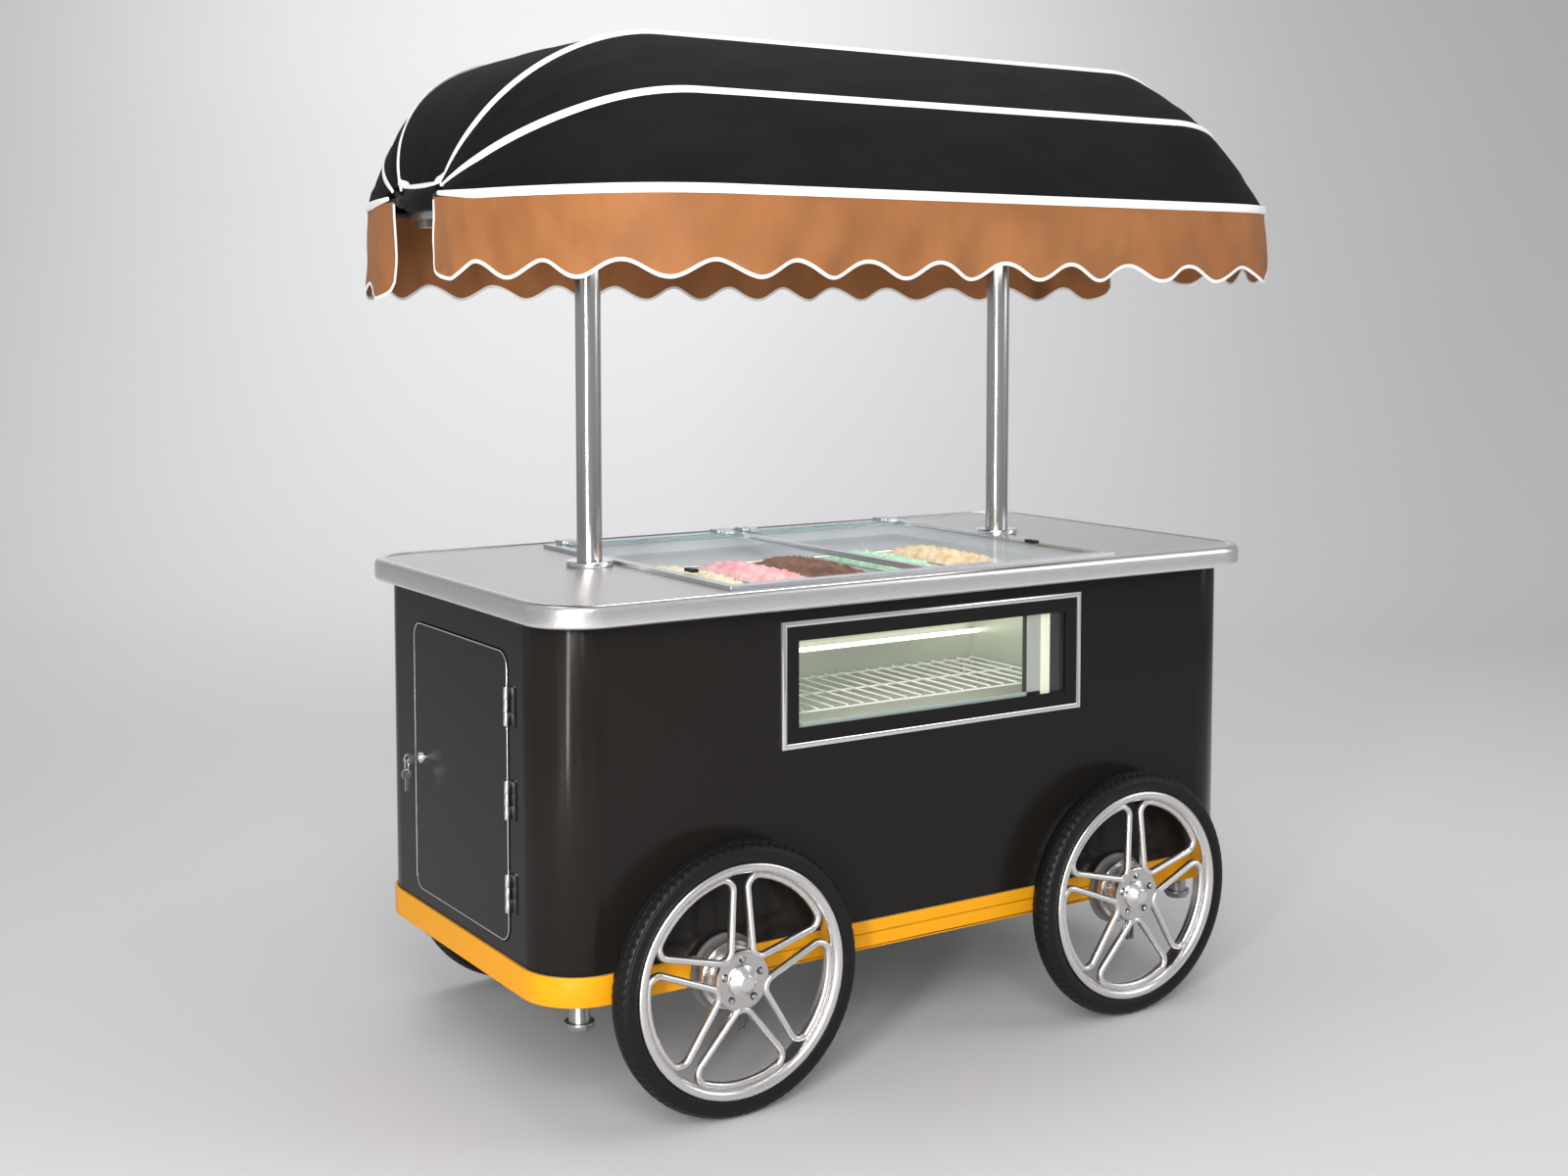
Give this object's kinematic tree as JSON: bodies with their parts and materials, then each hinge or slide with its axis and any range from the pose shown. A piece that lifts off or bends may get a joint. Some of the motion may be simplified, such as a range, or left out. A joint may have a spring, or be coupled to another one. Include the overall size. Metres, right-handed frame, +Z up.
{
  "type": "ice cream push cart",
  "caption": "Push cart with a chilled cabinet on large spoked wheels, lidded ice cream pans, a lit window, a service door and a folding hooped canopy with scalloped valances.",
  "frame": {"origin": "on the ground under the middle of the cart", "axes": "+X along the cart to its right end, -Y to the customers' side with the window, +Z up"},
  "size_m": [1.856, 1.271, 2.0194],
  "materials": {
    "chassis_paint": "satin",
    "axle_steel": "turned",
    "brake_grey": "matte",
    "band_orange": "satin",
    "panel_grey": "matte",
    "cabinet_black": "satin gloss",
    "bright_metal": "polished",
    "black_plastic": "satin",
    "clear_glass": "clear",
    "sheet_steel": "brushed",
    "white_wire": "coated",
    "light_tube": "diffuse",
    "machine_grey": "satin",
    "fan_plastic": "matte",
    "trim_aluminium": "satin",
    "pan_steel": "polished",
    "ice_cream": "soft, five colours",
    "canopy_frame": "satin",
    "sleeve_black": "woven",
    "canopy_cloth": "woven",
    "valance_cloth": "woven",
    "leg_steel": "satin",
    "tyre_rubber": "moulded",
    "wheel_alloy": "polished"
  },
  "bodies": {
    "cart": {"chassis_frame": "chassis_paint", "axles": "axle_steel", "brake_plates": "brake_grey", "base_band": "band_orange", "floor_panel": "panel_grey", "cabinet_shell": "cabinet_black", "door_hinges": "bright_metal", "window_frame": "bright_metal", "window_bezel": "black_plastic", "window_glass": "clear_glass", "display_liner": "sheet_steel", "wire_shelf": "white_wire", "led_tube": "light_tube", "condensing_unit": "machine_grey", "countertop": "sheet_steel", "well_frame": "trim_aluminium", "well_tub": "sheet_steel", "gelato_pans": "pan_steel", "gelato_fills": "ice_cream", "lid_hinges": "black_plastic", "posts": "bright_metal", "post_flanges": "bright_metal", "canopy_beam": "canopy_frame", "hub_sleeves": "sleeve_black", "top_bows": "canopy_frame", "top_panel": "canopy_cloth", "front_upper_panel": "canopy_cloth", "back_upper_panel": "canopy_cloth", "push_handle": "bright_metal"},
    "wheel_front_left": {"tyre_front_left": "tyre_rubber", "wheel_front_left": "wheel_alloy"},
    "wheel_front_right": {"tyre_front_right": "tyre_rubber", "wheel_front_right": "wheel_alloy"},
    "wheel_back_left": {"tyre_back_left": "tyre_rubber", "wheel_back_left": "wheel_alloy"},
    "wheel_back_right": {"tyre_back_right": "tyre_rubber", "wheel_back_right": "wheel_alloy"},
    "door": {"door_panel": "cabinet_black", "door_knuckles": "bright_metal", "lock_barrel": "bright_metal"},
    "key": {"lock_plug": "bright_metal", "door_key": "bright_metal"},
    "spare_key": {"spare_key": "bright_metal"},
    "lid_left": {"lid_left_glass": "clear_glass", "lid_left_fittings": "black_plastic"},
    "lid_right": {"lid_right_glass": "clear_glass", "lid_right_fittings": "black_plastic"},
    "leg_front_left": {"leg_front_left": "leg_steel"},
    "leg_front_right": {"leg_front_right": "leg_steel"},
    "leg_back_left": {"leg_back_left": "leg_steel"},
    "leg_back_right": {"leg_back_right": "leg_steel"},
    "fan": {"fan_blade": "fan_plastic"},
    "front_mid": {"front_mid_bow": "canopy_frame", "front_lower_panel": "canopy_cloth"},
    "front_low": {"front_low_bow": "canopy_frame", "front_valance": "valance_cloth"},
    "back_mid": {"back_mid_bow": "canopy_frame", "back_lower_panel": "canopy_cloth"},
    "back_low": {"back_low_bow": "canopy_frame", "back_valance": "valance_cloth"}
  },
  "joints": [
    {"name": "wheel_front_left_spin", "type": "hinge", "parent": "cart", "child": "wheel_front_left", "pos_m": [-0.492, -0.459, 0.26], "axis": [0, 1, 0], "continuous": true},
    {"name": "wheel_front_right_spin", "type": "hinge", "parent": "cart", "child": "wheel_front_right", "pos_m": [0.492, -0.459, 0.26], "axis": [0, 1, 0], "continuous": true},
    {"name": "wheel_back_left_spin", "type": "hinge", "parent": "cart", "child": "wheel_back_left", "pos_m": [-0.492, 0.459, 0.26], "axis": [0, 1, 0], "continuous": true},
    {"name": "wheel_back_right_spin", "type": "hinge", "parent": "cart", "child": "wheel_back_right", "pos_m": [0.492, 0.459, 0.26], "axis": [0, 1, 0], "continuous": true},
    {"name": "door_swing", "type": "hinge", "parent": "cart", "child": "door", "pos_m": [-0.854, -0.2385, 0.5995], "axis": [0, 0, 1], "range_deg": [0, 110]},
    {"name": "key_turn", "type": "hinge", "parent": "door", "child": "key", "pos_m": [-0.86, 0.1715, 0.5995], "axis": [1, 0, 0], "range_deg": [0, 90]},
    {"name": "spare_key_swing", "type": "hinge", "parent": "key", "child": "spare_key", "pos_m": [-0.883, 0.1715, 0.5972], "axis": [1, 0, 0], "range_deg": [-20, 20]},
    {"name": "lid_left_lift", "type": "hinge", "parent": "cart", "child": "lid_left", "pos_m": [-0.231, 0.34, 0.991], "axis": [-1, 0, 0], "range_deg": [0, 75]},
    {"name": "lid_right_lift", "type": "hinge", "parent": "cart", "child": "lid_right", "pos_m": [0.231, 0.34, 0.991], "axis": [-1, 0, 0], "range_deg": [0, 75]},
    {"name": "leg_front_left_drop", "type": "slide", "parent": "cart", "child": "leg_front_left", "axis": [0, 0, -1], "range_m": [0, 0.175]},
    {"name": "leg_front_right_drop", "type": "slide", "parent": "cart", "child": "leg_front_right", "axis": [0, 0, -1], "range_m": [0, 0.175]},
    {"name": "leg_back_left_drop", "type": "slide", "parent": "cart", "child": "leg_back_left", "axis": [0, 0, -1], "range_m": [0, 0.175]},
    {"name": "leg_back_right_drop", "type": "slide", "parent": "cart", "child": "leg_back_right", "axis": [0, 0, -1], "range_m": [0, 0.175]},
    {"name": "fan_spin", "type": "hinge", "parent": "cart", "child": "fan", "pos_m": [-0.434, 0, 0.427], "axis": [1, 0, 0], "continuous": true},
    {"name": "front_mid_fold", "type": "hinge", "parent": "cart", "child": "front_mid", "pos_m": [0, -0.09, 1.707], "axis": [-1, 0, 0], "range_deg": [0, 16], "deforming": ["front_upper_panel"]},
    {"name": "front_low_fold", "type": "hinge", "parent": "front_mid", "child": "front_low", "pos_m": [0, -0.09, 1.707], "axis": [-1, 0, 0], "range_deg": [0, 16], "deforming": ["front_lower_panel"]},
    {"name": "back_mid_fold", "type": "hinge", "parent": "cart", "child": "back_mid", "pos_m": [0, 0.09, 1.707], "axis": [1, 0, 0], "range_deg": [0, 16], "deforming": ["back_upper_panel"]},
    {"name": "back_low_fold", "type": "hinge", "parent": "back_mid", "child": "back_low", "pos_m": [0, 0.09, 1.707], "axis": [1, 0, 0], "range_deg": [0, 16], "deforming": ["back_lower_panel"]}
  ],
  "couplings": [
    {"joint": "front_low_fold", "follows": "front_mid_fold", "ratio": 1},
    {"joint": "back_low_fold", "follows": "back_mid_fold", "ratio": 1}
  ]
}
